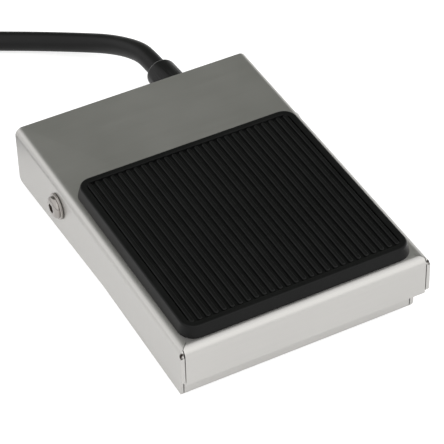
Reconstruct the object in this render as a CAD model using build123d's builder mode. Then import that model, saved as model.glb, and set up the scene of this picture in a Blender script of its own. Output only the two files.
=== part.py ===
"""Industrial foot switch: a sheet-steel pedal hinged on a sheet-steel tray, with a snap-action
switch inside and a round lead out of the back.

Frame: X to the right, Y to the back, Z up. The origin is on the floor, under the middle of the
pedal's length and width. All sizes are in millimetres.
"""

from build123d import *
import math
import os

# Sheet metal, the same for the pedal cover and the tray
SHEET = 1.2
INNER_BEND = 1.5
CORNER_SLOT = 0.6
CORNER_NOTCH = 0.8
CORNER_GAP = 0.3
CORNER_SLIT = 0.2
CORNER_HOLE = 1.4

# Pedal cover: the tilt lowers its back edge
COVER_WIDTH = 86.0
COVER_LENGTH = 119.8
COVER_FRONT_HEIGHT = 26.6
COVER_TILT = 0.86
FLANGE_FRONT = 14.0
FLANGE_REAR = 21.6
FLANGE_CORNER = 2.0

# Hinge, measured from the pedal's front face and from the floor
HINGE_FROM_FRONT = 87.0
HINGE_HEIGHT = 16.7
PRESS_ANGLE = 4.0
SCREW_DIAMETER = 4.0
SCREW_CLEARANCE = 0.1
HEAD_DIAMETER = 7.6
HEAD_HEIGHT = 1.6
HEAD_ROUNDING = 0.85
SOCKET_WIDTH = 3.0
SOCKET_DEPTH = 1.2
WASHER_DIAMETER = 9.0
WASHER_THICKNESS = 0.8
BUSH_DIAMETER = 6.0
BUSH_FLANGE_DIAMETER = 9.0
BUSH_FLANGE_THICKNESS = 0.45
BUSH_CLEARANCE = 0.08
WASHER_GAP = 0.2
NUT_WIDTH = 7.0
NUT_HEIGHT = 3.2
SCREW_REACH = 0.8

# Tray
SIDE_GAP = 0.7
TRAY_FRONT_INSET = 5.4
TRAY_REAR_INSET = 1.8
TRAY_RISE = 1.5
WALL_HEADROOM = 1.9
WALL_KNEE_AHEAD = 9.0
WALL_CORNER = 2.0
FRONT_LIP = 9.0
REAR_TAB = 8.0
REAR_TAB_WIDTH = 10.0
TAB_MARGIN = 3.0

# Rubber pad on the cover
PAD_WIDTH = 79.4
PAD_LENGTH = 79.2
PAD_FROM_FRONT = 3.1
PAD_THICKNESS = 4.0
PAD_CORNER = 5.5
PAD_DRAFT = 12.0
PAD_RIM = 2.4
RIB_PITCH = 2.72
RIB_WIDTH = 1.7
RIB_HEIGHT = 0.9
RIB_END_GAP = 0.4
RIB_DRAFT = 18.0

# Rubber stops and feet
STOP_DIAMETER = 8.0
STOP_SPACING = 48.0
STOP_GAP = 0.3
FOOT_DIAMETER = 12.0
FOOT_SPACING_X = 58.0
FOOT_SPACING_Y = 88.0

# Return springs
SPRING_FROM_FRONT = 25.0
SPRING_FROM_SIDE = 14.1
SPRING_DIAMETER = 8.0
SPRING_WIRE = 0.9
SPRING_TURNS = 7
SPRING_PIN_DIAMETER = 5.6
SPRING_PIN_HEIGHT = 3.0
SPRING_PIN_CHAMFER = 0.5
SPRING_SEAT_GAP = 0.15

# Snap-action switch
SWITCH_FROM_FRONT = 50.0
SWITCH_LENGTH = 19.8
SWITCH_WIDTH = 6.4
SWITCH_HEIGHT = 9.5
SWITCH_HOLE_DIAMETER = 2.4
SWITCH_HOLE_SPACING = 9.5
SWITCH_HOLE_HEIGHT = 2.9
LEVER_THICKNESS = 0.3
LEVER_WIDTH = 3.6
LEVER_LENGTH = 14.5
LEVER_ANGLE = 12.0
LEVER_PIVOT_INSET = 1.4
LEVER_PIVOT_RISE = 1.1
LEVER_LIFT = 1.1
LEVER_EAR = 0.9
LEVER_PIN_DIAMETER = 0.8
LEVER_PIN_CLEARANCE = 0.05
PIVOT_BOSS_WIDTH = 2.8
PIVOT_BOSS_RADIUS = 0.95
PLUNGER_FROM_PIVOT = 4.6
PLUNGER_LENGTH = 1.8
PLUNGER_WIDTH = 2.2
PLUNGER_DEPTH = 3.6
PLUNGER_CLEARANCE = 0.1
PLUNGER_STROKE = 1.1
SWITCH_CORNER = 0.6
SWITCH_SPLIT_EDGE = 0.25
TERMINAL_LENGTH = 2.4
TERMINAL_WIDTH = 2.2
TERMINAL_THICKNESS = 0.5
TERMINAL_PLACES = (-7.4, 1.3, 7.4)
SWITCH_SCREW_DIAMETER = 2.2
SWITCH_SCREW_HEAD = 3.8
SWITCH_SCREW_HEAD_HEIGHT = 1.4
SWITCH_NUT_WIDTH = 4.5
SWITCH_NUT_HEIGHT = 1.6

# Bracket that carries the switch
BRACKET_LENGTH = 22.0
BRACKET_FOOT = 12.0
BRACKET_MARGIN = 2.0
RIVET_DIAMETER = 3.0
RIVET_HEAD = 5.2
RIVET_HEAD_HEIGHT = 0.9
RIVET_SPACING = 13.0
RIVET_X = 10.5

# Pressing screw under the cover
PRESS_FROM_FRONT = 46.0
PRESS_TIP = 1.0
PRESS_GAP = 0.25
PRESS_SOCKET = 2.0
TIP_FLAT = 0.1

# Gland and cable
GLAND_X = 17.9
GLAND_HEIGHT = 15.0
CABLE_DIAMETER = 7.0
CABLE_CLEARANCE = 0.1
GLAND_THREAD = 10.0
GLAND_NOSE_DIAMETER = 11.8
GLAND_NOSE_TAPER = 2.5
GLAND_REACH = 17.6
GLAND_SHOULDER = 1.6
GLAND_CAP_LENGTH = 13.6
GLAND_FLANGE_DIAMETER = 14.0
GLAND_FLANGE = 2.0
GASKET_THICKNESS = 0.8
GLAND_NUT_WIDTH = 13.0
GLAND_NUT_THICKNESS = 3.0
GLAND_TAIL = 7.0
SEAL_LENGTH = 4.0
SEAL_DIAMETER = 9.4
SPIGOT_DIAMETER = 9.6
CAP_LIP = 4.0
CAP_EDGE = 0.6
INNER_CABLE_LENGTH = 31.7
WIRE_FALL = 12.0
LANE_START = 21.9
CORE_DIAMETER = 2.0
CORE_OFFSET = 1.4
CORE_SPACE = 0.6
CORE_STRAIGHT = 5.0

# Earth stud
EARTH_X = 24.0
EARTH_FROM_BACK = 40.0
EARTH_STUD_HEIGHT = 8.0
TAG_DIAMETER = 8.0
TAG_THICKNESS = 0.8
TAG_BARREL = 3.0
TAG_BARREL_LENGTH = 4.5
TAG_LENGTH = 13.0
CRIMP_DEPTH = 3.5

# Lead, coil and tie: the route is the line of the cable's middle after its straight first run
LEAD_STRAIGHT = 8.0
LEAD_ROUTE = [
    (16.8, 92.2, 13.5),
    (12.9, 104.2, 9.3),
    (5.4, 113.9, 6.2),
    (-7.0, 123.9, 4.6),
    (-23.2, 134.0, 3.7),
    (-41.0, 144.8, 3.5),
    (-58.2, 156.6, 3.5),
]
COIL_CENTRE = (-88.0, 118.5)
COIL_RADIUS = 40.0
COIL_COLUMNS = 3
COIL_LAYERS = 2
COIL_CORNER = 3.4
TIE_WIDTH = 5.0
TIE_THICKNESS = 1.1
TIE_ANGLE = 20.0
TIE_HEAD = 4.2
TAIL_ROUTE = [
    (-135.0, 111.0, 10.5),
    (-134.2, 98.0, 8.6),
    (-131.6, 85.0, 4.9),
    (-127.2, 73.0, 3.6),
]
FREE_CORE_LENGTH = 26.0
FREE_CORE_SPREAD = 5.5
FERRULE_LENGTH = 8.0
FERRULE_DIAMETER = 1.3

# Places that follow from the sizes above
FRONT = -COVER_LENGTH / 2
REAR = FRONT + COVER_LENGTH
OUTER_BEND = INNER_BEND + SHEET
TILT = math.radians(COVER_TILT)
TRAY_WIDTH = COVER_WIDTH - 2 * (SHEET + SIDE_GAP)
TRAY_FRONT = FRONT + TRAY_FRONT_INSET
TRAY_REAR = REAR - TRAY_REAR_INSET
TRAY_LENGTH = TRAY_REAR - TRAY_FRONT
TRAY_FLOOR = TRAY_RISE + SHEET
HINGE_Y = FRONT + HINGE_FROM_FRONT
SPRING_Y = FRONT + SPRING_FROM_FRONT
SWITCH_Y = FRONT + SWITCH_FROM_FRONT
EARTH_Y = TRAY_REAR - EARTH_FROM_BACK
TAB_X = TRAY_WIDTH / 2 - SHEET - TAB_MARGIN - REAR_TAB_WIDTH / 2
NOSE_END = TRAY_REAR + GLAND_REACH
SHEATH_END = NOSE_END - INNER_CABLE_LENGTH


def under_cover(y):
    """Height of the cover's underside above the floor at rest."""
    return COVER_FRONT_HEIGHT - (y - FRONT) * math.tan(TILT) - SHEET / math.cos(TILT)


def under_pressed_cover(y):
    """Height of the same underside, at about the same y, with the pedal fully pressed."""
    return under_cover(y) - (HINGE_Y - y) * math.tan(math.radians(PRESS_ANGLE))


def bend_radii(points):
    """The largest radius that the runs on each side of every corner of a route leave room for."""
    runs = [Vector(*end) - Vector(*start) for start, end in zip(points, points[1:])]
    return [
        0.45 * min(before.length, after.length) / math.tan(math.radians(before.get_angle(after) / 2))
        for before, after in zip(runs, runs[1:])
    ]


def save(piece, label):
    """Name a finished piece and write its STEP file."""
    piece.label = label
    export_step(piece, f"parts/{label}.step")


# Planes of the tilted cover: its top face, its side seen from the right, its front seen end on
cover_along = Vector(0, math.cos(TILT), -math.sin(TILT))
cover_top = Plane(
    origin=(0, FRONT, COVER_FRONT_HEIGHT), x_dir=(1, 0, 0), z_dir=(0, math.sin(TILT), math.cos(TILT))
)
cover_under = cover_top.offset(-SHEET)
cover_side = Plane(origin=cover_top.origin, x_dir=cover_along, z_dir=(1, 0, 0))
cover_end = Plane(origin=cover_top.origin, x_dir=(1, 0, 0), z_dir=-cover_along)

# The same for the level tray, from the underside of its floor
tray_bottom = Plane(origin=(0, TRAY_FRONT, TRAY_RISE))
tray_floor = Plane(origin=(0, 0, TRAY_FLOOR))
tray_side = Plane(origin=tray_bottom.origin, x_dir=(0, 1, 0), z_dir=(1, 0, 0))
tray_back_bottom = Plane(origin=(0, TRAY_REAR, TRAY_RISE), x_dir=(-1, 0, 0), z_dir=(0, 0, 1))
tray_back_side = Plane(origin=(0, TRAY_REAR, TRAY_RISE), x_dir=(0, -1, 0), z_dir=(-1, 0, 0))
tray_end = Plane(origin=tray_bottom.origin, x_dir=(1, 0, 0), z_dir=(0, -1, 0))


def hinge_plane(distance, side):
    """Plane across the hinge line, facing outwards, at a distance from the middle on side 1 or -1."""
    return Plane(origin=(side * distance, HINGE_Y, HINGE_HEIGHT), x_dir=(0, 1, 0), z_dir=(side, 0, 0))


def folded_section(plane, points, inner_side):
    """A folded sheet seen on edge: points is its outer line, thickened to the side it folds round."""
    with BuildSketch(plane) as section:
        with BuildLine():
            outer = FilletPolyline(*points, radius=OUTER_BEND)
            offset(outer, amount=SHEET, side=inner_side)
        make_face()
    return section.sketch


def end_wall(plane, points, inner_side, strip_width, wall_width, wall_bottom, wall_top):
    """A wall folded up or down from a panel: the folded strip, and the wider flat of the wall."""
    with BuildPart() as wall:
        extrude(folded_section(plane, points, inner_side), amount=strip_width / 2, both=True)
        with BuildSketch(plane):
            with Locations((0, (wall_bottom + wall_top) / 2)):
                Rectangle(SHEET, abs(wall_top - wall_bottom), align=(Align.MIN, Align.CENTER))
        extrude(amount=wall_width / 2, both=True)
    return wall.part


def mitred_bend(panel, side_plane, inner_side, towards_wall, width, wall_width):
    """The bend between a panel and its end wall, its ends cut at 45 degrees to meet the side bends."""
    line = [(panel_cut, 0), (0, 0), (0, towards_wall * panel_cut)]
    half = width / 2 - CORNER_SLIT
    with BuildPart() as bend:
        extrude(folded_section(side_plane, line, inner_side), amount=wall_width / 2, both=True)
        with BuildSketch(panel):
            Polygon((-half, 0), (half, 0), (half - panel_cut, panel_cut), (panel_cut - half, panel_cut), align=None)
        extrude(amount=2 * panel_cut, both=True, mode=Mode.INTERSECT)
    return bend.part


def mitred_end(panel, width):
    """Plan of what is cut from the end of a channel to make room for the end wall's bend."""
    half = width / 2
    inside = half - SHEET
    with BuildSketch(panel) as plan:
        Polygon(
            (-inside, -SHEET),
            (inside, -SHEET),
            (inside, SHEET),
            (half - panel_cut, panel_cut),
            (panel_cut - half, panel_cut),
            (-inside, SHEET),
            align=None,
        )
    return plan.sketch


os.makedirs("parts", exist_ok=True)

# Pedal cover: a channel cut to its wedge outline, with the front wall folded down between its sides
panel_cut = OUTER_BEND + CORNER_NOTCH
strip = COVER_WIDTH - 2 * (panel_cut + CORNER_SLIT)
with BuildPart() as pedal_cover:
    half = COVER_WIDTH / 2
    channel = [(-half, -FLANGE_REAR), (-half, 0), (half, 0), (half, -FLANGE_REAR)]
    extrude(folded_section(cover_end, channel, Side.RIGHT), amount=-COVER_LENGTH)
    with BuildSketch(cover_side) as outline:
        Polygon(
            (0, 0), (0, -FLANGE_FRONT), (COVER_LENGTH, -FLANGE_REAR), (COVER_LENGTH, 0), align=None
        )
        fillet(outline.vertices().sort_by(Axis.Y)[:2], FLANGE_CORNER)
        fillet(outline.vertices().group_by(Axis.Y)[-1].sort_by(Axis.X)[0], OUTER_BEND)
    extrude(amount=half, both=True, mode=Mode.INTERSECT)

    extrude(mitred_end(cover_top, COVER_WIDTH), amount=-OUTER_BEND, mode=Mode.SUBTRACT)
    with BuildSketch(cover_side):
        with Locations((0, CORNER_NOTCH - OUTER_BEND)):
            Circle(CORNER_HOLE / 2)
    extrude(amount=half, both=True, mode=Mode.SUBTRACT)
    front_line = [(panel_cut, 0), (0, 0), (0, -FLANGE_FRONT)]
    front_width = COVER_WIDTH - 2 * (SHEET + CORNER_GAP)
    add(mitred_bend(cover_top, cover_side, Side.LEFT, -1, COVER_WIDTH, front_width))
    add(end_wall(cover_side, front_line, Side.LEFT, strip, front_width, -FLANGE_FRONT, -OUTER_BEND))
    with BuildSketch(hinge_plane(0, 1)):
        Circle(BUSH_DIAMETER / 2 + BUSH_CLEARANCE)
    extrude(amount=half, both=True, mode=Mode.SUBTRACT)
    with BuildSketch(cover_top):
        with Locations((0, PRESS_FROM_FRONT)):
            Circle(SCREW_DIAMETER / 2 + SCREW_CLEARANCE)
    extrude(amount=-SHEET, mode=Mode.SUBTRACT)
save(pedal_cover.part, "pedal_cover")

# Rubber pad: a drafted slab with a smooth rim round a sunk field of round-ended ribs
pad_top = cover_top.offset(PAD_THICKNESS)
pad_middle = PAD_FROM_FRONT + PAD_LENGTH / 2
pad_inset = PAD_THICKNESS * math.tan(math.radians(PAD_DRAFT)) + PAD_RIM
field_width = PAD_WIDTH - 2 * pad_inset
field_length = PAD_LENGTH - 2 * pad_inset
ribs_each_side = int((field_width - RIB_WIDTH) / 2 / RIB_PITCH)
with BuildPart() as rubber_pad:
    with BuildSketch(cover_top):
        with Locations((0, pad_middle)):
            RectangleRounded(PAD_WIDTH, PAD_LENGTH, PAD_CORNER)
    extrude(amount=PAD_THICKNESS, taper=PAD_DRAFT)
    with BuildSketch(pad_top):
        with Locations((0, pad_middle)):
            RectangleRounded(field_width, field_length, PAD_CORNER - PAD_RIM)
    extrude(amount=-RIB_HEIGHT, mode=Mode.SUBTRACT)
    with BuildSketch(pad_top.offset(-RIB_HEIGHT)):
        with Locations((0, pad_middle)):
            with GridLocations(RIB_PITCH, 0, 2 * ribs_each_side + 1, 1):
                SlotOverall(field_length - 2 * RIB_END_GAP, RIB_WIDTH, rotation=90)
    extrude(amount=RIB_HEIGHT, taper=RIB_DRAFT)
save(rubber_pad.part, "rubber_pad")

# Weld nut and grub screw under the cover: the screw's round tip presses the switch lever
with BuildPart() as press_nut:
    with BuildSketch(cover_under):
        with Locations((0, PRESS_FROM_FRONT)):
            RegularPolygon(NUT_WIDTH / 2, 6, major_radius=False)
            Circle(SCREW_DIAMETER / 2 + SCREW_CLEARANCE, mode=Mode.SUBTRACT)
    extrude(amount=-NUT_HEIGHT)
save(press_nut.part, "press_nut")

press_plane = Plane(
    origin=cover_top.from_local_coords((0, PRESS_FROM_FRONT, 0)), x_dir=(1, 0, 0), z_dir=cover_top.z_dir
)
press_reach = SHEET + NUT_HEIGHT + PRESS_TIP
with BuildPart() as press_screw:
    with BuildSketch(press_plane):
        Circle(SCREW_DIAMETER / 2)
    extrude(amount=-press_reach)
    fillet(press_screw.edges().sort_by(Axis.Z)[0], SCREW_DIAMETER / 2 - TIP_FLAT)
    with BuildSketch(press_plane):
        RegularPolygon(PRESS_SOCKET / 2, 6, major_radius=False)
    extrude(amount=-PRESS_SOCKET, mode=Mode.SUBTRACT)
save(press_screw.part, "press_screw")
press_tip = press_plane.from_local_coords((0, 0, -press_reach))

# Studs under the cover and pins on the tray floor that hold the two return springs
spring_x = TRAY_WIDTH / 2 - SPRING_FROM_SIDE
spring_places = [(-spring_x, 0), (spring_x, 0)]
with BuildPart() as spring_studs:
    with BuildSketch(cover_under):
        with Locations((0, SPRING_FROM_FRONT)):
            with Locations(*spring_places):
                Circle(SPRING_PIN_DIAMETER / 2)
    extrude(amount=-SPRING_PIN_HEIGHT)
    chamfer(spring_studs.faces().sort_by(Axis.Z)[:2].edges(), SPRING_PIN_CHAMFER)
save(spring_studs.part, "spring_studs")

with BuildPart() as spring_pins:
    with BuildSketch(tray_floor):
        with Locations((0, SPRING_Y)):
            with Locations(*spring_places):
                Circle(SPRING_PIN_DIAMETER / 2)
    extrude(amount=SPRING_PIN_HEIGHT)
    chamfer(spring_pins.faces().sort_by(Axis.Z)[-2:].edges(), SPRING_PIN_CHAMFER)
save(spring_pins.part, "spring_pins")

# Return springs: plain coils between the tray floor and the cover
spring_radius = (SPRING_DIAMETER - SPRING_WIRE) / 2
spring_bottom = TRAY_FLOOR + SPRING_SEAT_GAP + SPRING_WIRE / 2
spring_top = under_cover(SPRING_Y + spring_radius) - SPRING_SEAT_GAP - SPRING_WIRE / 2
spring_height = spring_top - spring_bottom
for side, place in zip(("left", "right"), spring_places):
    with BuildPart() as return_spring:
        with BuildLine():
            coil = Helix(
                pitch=spring_height / SPRING_TURNS,
                height=spring_height,
                radius=spring_radius,
                center=(place[0], SPRING_Y, spring_bottom),
            )
        with BuildSketch(Plane(origin=coil @ 0, z_dir=coil % 0)):
            Circle(SPRING_WIRE / 2)
        sweep(path=coil, is_frenet=True)
    save(return_spring.part, f"return_spring_{side}")

# Base tray: a channel with an end wall folded up at the front and the back
tray_strip = TRAY_WIDTH - 2 * (panel_cut + CORNER_SLIT)
tray_wall = TRAY_WIDTH - 2 * (SHEET + CORNER_GAP)
front_wall_height = under_pressed_cover(TRAY_FRONT) - WALL_HEADROOM - TRAY_RISE
rear_wall_height = under_cover(TRAY_REAR) - WALL_HEADROOM - TRAY_RISE
tab_top = TRAY_RISE + rear_wall_height
lip_top = TRAY_RISE + front_wall_height
knee = HINGE_Y - WALL_KNEE_AHEAD - TRAY_FRONT
gland_plane = Plane(origin=(GLAND_X, TRAY_REAR, GLAND_HEIGHT), x_dir=(-1, 0, 0), z_dir=(0, 1, 0))
with BuildPart() as base_tray:
    half = TRAY_WIDTH / 2
    channel = [(-half, rear_wall_height), (-half, 0), (half, 0), (half, rear_wall_height)]
    extrude(folded_section(tray_end, channel, Side.LEFT), amount=-TRAY_LENGTH)
    with BuildSketch(tray_side) as outline:
        Polygon(
            (0, 0),
            (TRAY_LENGTH, 0),
            (TRAY_LENGTH, rear_wall_height),
            (knee, rear_wall_height),
            (0, front_wall_height),
            align=None,
        )
        fillet(outline.vertices().group_by(Axis.Y)[1:], WALL_CORNER)
        fillet(outline.vertices().group_by(Axis.Y)[0], OUTER_BEND)
    extrude(amount=half, both=True, mode=Mode.INTERSECT)
    for panel, side_plane in ((tray_bottom, tray_side), (tray_back_bottom, tray_back_side)):
        extrude(mitred_end(panel, TRAY_WIDTH), amount=OUTER_BEND, mode=Mode.SUBTRACT)
        add(mitred_bend(panel, side_plane, Side.RIGHT, 1, TRAY_WIDTH, tray_wall))
    front_line = [(panel_cut, 0), (0, 0), (0, front_wall_height), (FRONT_LIP, front_wall_height)]
    wall_bend = front_wall_height - OUTER_BEND
    add(end_wall(tray_side, front_line, Side.RIGHT, tray_strip, tray_wall, OUTER_BEND, wall_bend))
    rear_line = [(panel_cut, 0), (0, 0), (0, rear_wall_height)]
    rear_sides = [tray_back_side, rear_line, Side.RIGHT, tray_strip, tray_wall]
    add(end_wall(*rear_sides, OUTER_BEND, rear_wall_height))
    tab_bend = rear_wall_height - OUTER_BEND - CORNER_NOTCH
    with BuildSketch(gland_plane):
        with Locations((TAB_X + GLAND_X, tab_bend + TRAY_RISE - GLAND_HEIGHT),
                       (-TAB_X + GLAND_X, tab_bend + TRAY_RISE - GLAND_HEIGHT)):
            Rectangle(
                REAR_TAB_WIDTH + 2 * CORNER_SLOT, OUTER_BEND + CORNER_NOTCH, align=(Align.CENTER, Align.MIN)
            )
    extrude(amount=-SHEET, mode=Mode.SUBTRACT)
    tab_line = [(0, tab_bend), (0, rear_wall_height), (REAR_TAB, rear_wall_height)]
    for tab_x in (-TAB_X, TAB_X):
        tab_side = Plane(origin=(tab_x, TRAY_REAR, TRAY_RISE), x_dir=(0, -1, 0), z_dir=(-1, 0, 0))
        extrude(folded_section(tab_side, tab_line, Side.RIGHT), amount=REAR_TAB_WIDTH / 2, both=True)
    with BuildSketch(gland_plane):
        Circle(GLAND_THREAD / 2 + CABLE_CLEARANCE)
    extrude(amount=-SHEET, mode=Mode.SUBTRACT)
    with BuildSketch(hinge_plane(0, 1)):
        Circle(SCREW_DIAMETER / 2 + SCREW_CLEARANCE)
    extrude(amount=half, both=True, mode=Mode.SUBTRACT)
    with BuildSketch(tray_bottom):
        with Locations((RIVET_X, SWITCH_Y - TRAY_FRONT)):
            with GridLocations(0, RIVET_SPACING, 1, 2):
                Circle(RIVET_DIAMETER / 2)
    extrude(amount=SHEET, mode=Mode.SUBTRACT)
save(base_tray.part, "base_tray")

# Hinge: on each side a bush in the cover, held by a washer and a round-headed screw into a nut
washer_seat = COVER_WIDTH / 2 + WASHER_GAP
screw_seat = washer_seat + WASHER_THICKNESS
nut_seat = TRAY_WIDTH / 2 - SHEET
screw_end = nut_seat - NUT_HEIGHT - SCREW_REACH
for side, sign, outermost in (("left", -1, 0), ("right", 1, -1)):
    with BuildPart() as pivot_bush:
        with BuildSketch(hinge_plane(TRAY_WIDTH / 2, sign)):
            Circle(BUSH_FLANGE_DIAMETER / 2)
        extrude(amount=BUSH_FLANGE_THICKNESS)
        with BuildSketch(hinge_plane(TRAY_WIDTH / 2, sign)):
            Circle(BUSH_DIAMETER / 2)
        extrude(amount=washer_seat - TRAY_WIDTH / 2)
        with BuildSketch(hinge_plane(TRAY_WIDTH / 2, sign)):
            Circle(SCREW_DIAMETER / 2 + SCREW_CLEARANCE)
        extrude(amount=washer_seat - TRAY_WIDTH / 2, mode=Mode.SUBTRACT)
    save(pivot_bush.part, f"pivot_bush_{side}")

    with BuildPart() as pivot_washer:
        with BuildSketch(hinge_plane(washer_seat, sign)):
            Circle(WASHER_DIAMETER / 2)
            Circle(SCREW_DIAMETER / 2 + SCREW_CLEARANCE, mode=Mode.SUBTRACT)
        extrude(amount=WASHER_THICKNESS)
        chamfer(pivot_washer.faces().sort_by(Axis.X)[outermost].outer_wire().edges(), WASHER_THICKNESS / 4)
    save(pivot_washer.part, f"pivot_washer_{side}")

    with BuildPart() as pivot_screw:
        with BuildSketch(hinge_plane(screw_seat, sign)):
            Circle(HEAD_DIAMETER / 2)
        extrude(amount=HEAD_HEIGHT)
        fillet(pivot_screw.faces().sort_by(Axis.X)[outermost].edges(), HEAD_HEIGHT * HEAD_ROUNDING)
        with BuildSketch(hinge_plane(screw_seat, sign)):
            Circle(SCREW_DIAMETER / 2)
        extrude(amount=screw_end - screw_seat)
        with BuildSketch(hinge_plane(screw_seat + HEAD_HEIGHT, sign)):
            RegularPolygon(SOCKET_WIDTH / 2, 6, major_radius=False)
        extrude(amount=-SOCKET_DEPTH, mode=Mode.SUBTRACT)
    save(pivot_screw.part, f"pivot_screw_{side}")

    with BuildPart() as pivot_nut:
        with BuildSketch(hinge_plane(nut_seat, sign)):
            RegularPolygon(NUT_WIDTH / 2, 6, major_radius=False)
            Circle(SCREW_DIAMETER / 2 + SCREW_CLEARANCE / 2, mode=Mode.SUBTRACT)
        extrude(amount=-NUT_HEIGHT)
    save(pivot_nut.part, f"pivot_nut_{side}")

# Rubber stops: on the rear tabs for the pedal at rest, on the front lip for the pedal pressed
rest_y = TRAY_REAR - REAR_TAB / 2
press_stop_y = TRAY_FRONT + FRONT_LIP / 2
rest_edge = rest_y + STOP_DIAMETER / 2
press_stop_edge = press_stop_y - STOP_DIAMETER / 2
with BuildPart() as rest_stops:
    with BuildSketch(Plane(origin=(0, rest_y, tab_top))):
        with Locations((-TAB_X, 0), (TAB_X, 0)):
            Circle(STOP_DIAMETER / 2)
    extrude(amount=under_cover(rest_edge) - STOP_GAP - tab_top)
save(rest_stops.part, "rest_stops")

with BuildPart() as travel_stops:
    with BuildSketch(Plane(origin=(0, press_stop_y, lip_top))):
        with GridLocations(STOP_SPACING, 0, 2, 1):
            Circle(STOP_DIAMETER / 2)
    extrude(amount=under_pressed_cover(press_stop_edge) - STOP_GAP - lip_top)
save(travel_stops.part, "travel_stops")

# Four stick-on rubber feet under the tray
with BuildPart() as rubber_feet:
    with BuildSketch():
        with GridLocations(FOOT_SPACING_X, FOOT_SPACING_Y, 2, 2):
            Circle(FOOT_DIAMETER / 2)
    extrude(amount=TRAY_RISE)
    chamfer(rubber_feet.faces().filter_by(Axis.Z).group_by(Axis.Z)[0].edges(), TRAY_RISE / 5)
save(rubber_feet.part, "rubber_feet")

# Snap-action switch: where its lever and plunger lie follows from the pressing screw's tip
switch_back = SWITCH_Y + SWITCH_LENGTH / 2
pivot_y = switch_back - LEVER_PIVOT_INSET
lever_tilt = math.radians(LEVER_ANGLE)
lever_face = LEVER_LIFT + LEVER_THICKNESS
tip_radius = SCREW_DIAMETER / 2
tip_middle = press_tip.Z + tip_radius
reach_ahead = pivot_y - press_tip.Y
pivot_z = tip_middle - (tip_radius + PRESS_GAP + lever_face + reach_ahead * math.sin(lever_tilt)) / math.cos(
    lever_tilt
)
switch_top = pivot_z - LEVER_PIVOT_RISE
switch_bottom = switch_top - SWITCH_HEIGHT
plunger_y = pivot_y - PLUNGER_FROM_PIVOT
plunger_radius = PLUNGER_LENGTH / 2
plunger_middle = pivot_z + (
    LEVER_LIFT + PLUNGER_FROM_PIVOT * math.sin(lever_tilt) - plunger_radius - PLUNGER_CLEARANCE
) / math.cos(lever_tilt)
plunger_bottom = switch_top - PLUNGER_DEPTH

# Planes across the width: the switch seen from the right, and the lever along its own slope
switch_side = Plane(origin=(0, SWITCH_Y, switch_bottom), x_dir=(0, 1, 0), z_dir=(1, 0, 0))
pivot_side = Plane(origin=(0, pivot_y, pivot_z), x_dir=(0, 1, 0), z_dir=(1, 0, 0))
lever_side = Plane(
    origin=(0, pivot_y, pivot_z),
    x_dir=(0, math.cos(lever_tilt), -math.sin(lever_tilt)),
    z_dir=(1, 0, 0),
)
with BuildPart() as switch_body:
    with BuildSketch(switch_side):
        Rectangle(SWITCH_LENGTH, SWITCH_HEIGHT, align=(Align.CENTER, Align.MIN))
    extrude(amount=SWITCH_WIDTH / 2, both=True)
    fillet(switch_body.edges().filter_by(Axis.X), SWITCH_CORNER)
    chamfer(switch_body.faces().filter_by(Axis.X).edges(), SWITCH_SPLIT_EDGE)
    with BuildSketch(pivot_side):
        Circle(PIVOT_BOSS_RADIUS)
        boss_foot = LEVER_PIVOT_RISE + SWITCH_SPLIT_EDGE
        Rectangle(2 * PIVOT_BOSS_RADIUS, boss_foot, align=(Align.CENTER, Align.MAX))
    extrude(amount=PIVOT_BOSS_WIDTH / 2, both=True)
    with BuildSketch(pivot_side):
        Circle(LEVER_PIN_DIAMETER / 2 + LEVER_PIN_CLEARANCE)
    extrude(amount=PIVOT_BOSS_WIDTH / 2, both=True, mode=Mode.SUBTRACT)
    with BuildSketch(switch_side):
        with Locations((0, SWITCH_HOLE_HEIGHT)):
            with GridLocations(SWITCH_HOLE_SPACING, 0, 2, 1):
                Circle(SWITCH_HOLE_DIAMETER / 2)
    extrude(amount=SWITCH_WIDTH / 2, both=True, mode=Mode.SUBTRACT)
    with BuildSketch(Plane(origin=(0, plunger_y, switch_top))):
        Rectangle(PLUNGER_WIDTH + 2 * PLUNGER_CLEARANCE, PLUNGER_LENGTH + 2 * PLUNGER_CLEARANCE)
    extrude(amount=-PLUNGER_DEPTH - PLUNGER_STROKE - PLUNGER_CLEARANCE, mode=Mode.SUBTRACT)
save(switch_body.part, "switch_body")

with BuildPart() as switch_plunger:
    with BuildSketch(Plane(origin=(0, plunger_y, 0), x_dir=(0, 1, 0), z_dir=(1, 0, 0))):
        with Locations((0, plunger_middle)):
            Circle(plunger_radius)
            Rectangle(PLUNGER_LENGTH, plunger_middle - plunger_bottom, align=(Align.CENTER, Align.MAX))
    extrude(amount=PLUNGER_WIDTH / 2, both=True)
save(switch_plunger.part, "switch_plunger")

with BuildPart() as switch_lever:
    with BuildSketch(lever_side):
        with Locations((LEVER_EAR, LEVER_LIFT)):
            Rectangle(LEVER_LENGTH + LEVER_EAR, LEVER_THICKNESS, align=(Align.MAX, Align.MIN))
    extrude(amount=LEVER_WIDTH / 2, both=True)
    with BuildSketch(lever_side):
        Circle(LEVER_EAR)
        Rectangle(2 * LEVER_EAR, lever_face, align=(Align.CENTER, Align.MIN))
    extrude(amount=LEVER_WIDTH / 2, both=True)
    with BuildSketch(lever_side):
        with Locations((0, LEVER_LIFT)):
            Rectangle(4 * LEVER_EAR, LEVER_LIFT + 2 * LEVER_EAR, align=(Align.CENTER, Align.MAX))
    extrude(amount=LEVER_WIDTH / 2 - LEVER_THICKNESS, both=True, mode=Mode.SUBTRACT)
    with BuildSketch(lever_side):
        Circle(LEVER_PIN_DIAMETER / 2)
    extrude(amount=LEVER_WIDTH / 2, both=True)
save(switch_lever.part, "switch_lever")

with BuildPart() as switch_terminals:
    with BuildSketch(Plane(origin=(0, SWITCH_Y, switch_bottom), x_dir=(1, 0, 0), z_dir=(0, 0, -1))):
        with Locations(*[(0, -place) for place in TERMINAL_PLACES]):
            Rectangle(TERMINAL_THICKNESS, TERMINAL_WIDTH)
    extrude(amount=TERMINAL_LENGTH)
save(switch_terminals.part, "switch_terminals")

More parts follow.
